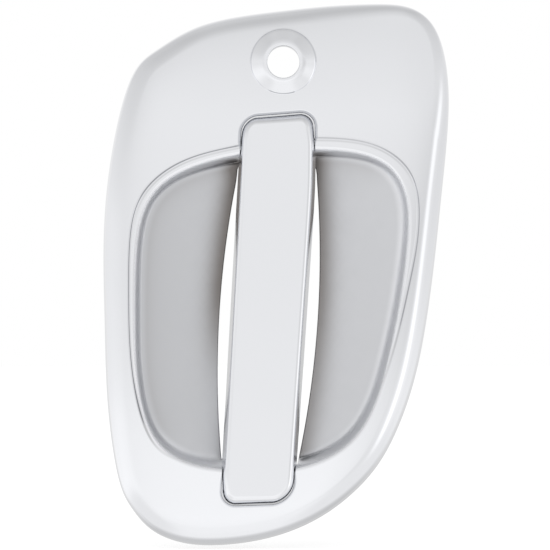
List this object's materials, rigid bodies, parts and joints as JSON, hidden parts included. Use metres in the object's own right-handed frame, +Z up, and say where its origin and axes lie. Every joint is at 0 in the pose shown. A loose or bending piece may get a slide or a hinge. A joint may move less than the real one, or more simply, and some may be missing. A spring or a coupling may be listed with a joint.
{
  "type": "car door handle cover",
  "caption": "Plated stick-on cover for a car's outside door handle: a surround with finger bowl and lock hole, and a cap over the pull grip.",
  "frame": {"origin": "on the lock's axis, at the front of the boss round it", "axes": "+X right and +Z up as seen from outside the door, with the cover upright; -Y away from the door"},
  "size_m": [0.1519, 0.0288, 0.2382],
  "materials": {
    "plating": "polished",
    "foam_tape": "matte"
  },
  "bodies": {
    "root": {"bezel_cover": "plating", "grip_cover": "plating", "bezel_tape_top_left": "foam_tape", "bezel_tape_top_right": "foam_tape", "bezel_tape_bottom_left": "foam_tape", "bezel_tape_bottom_right": "foam_tape", "cheek_tape_left": "foam_tape", "cheek_tape_right": "foam_tape", "grip_tape_upper": "foam_tape", "grip_tape_lower": "foam_tape"}
  },
  "joints": []
}
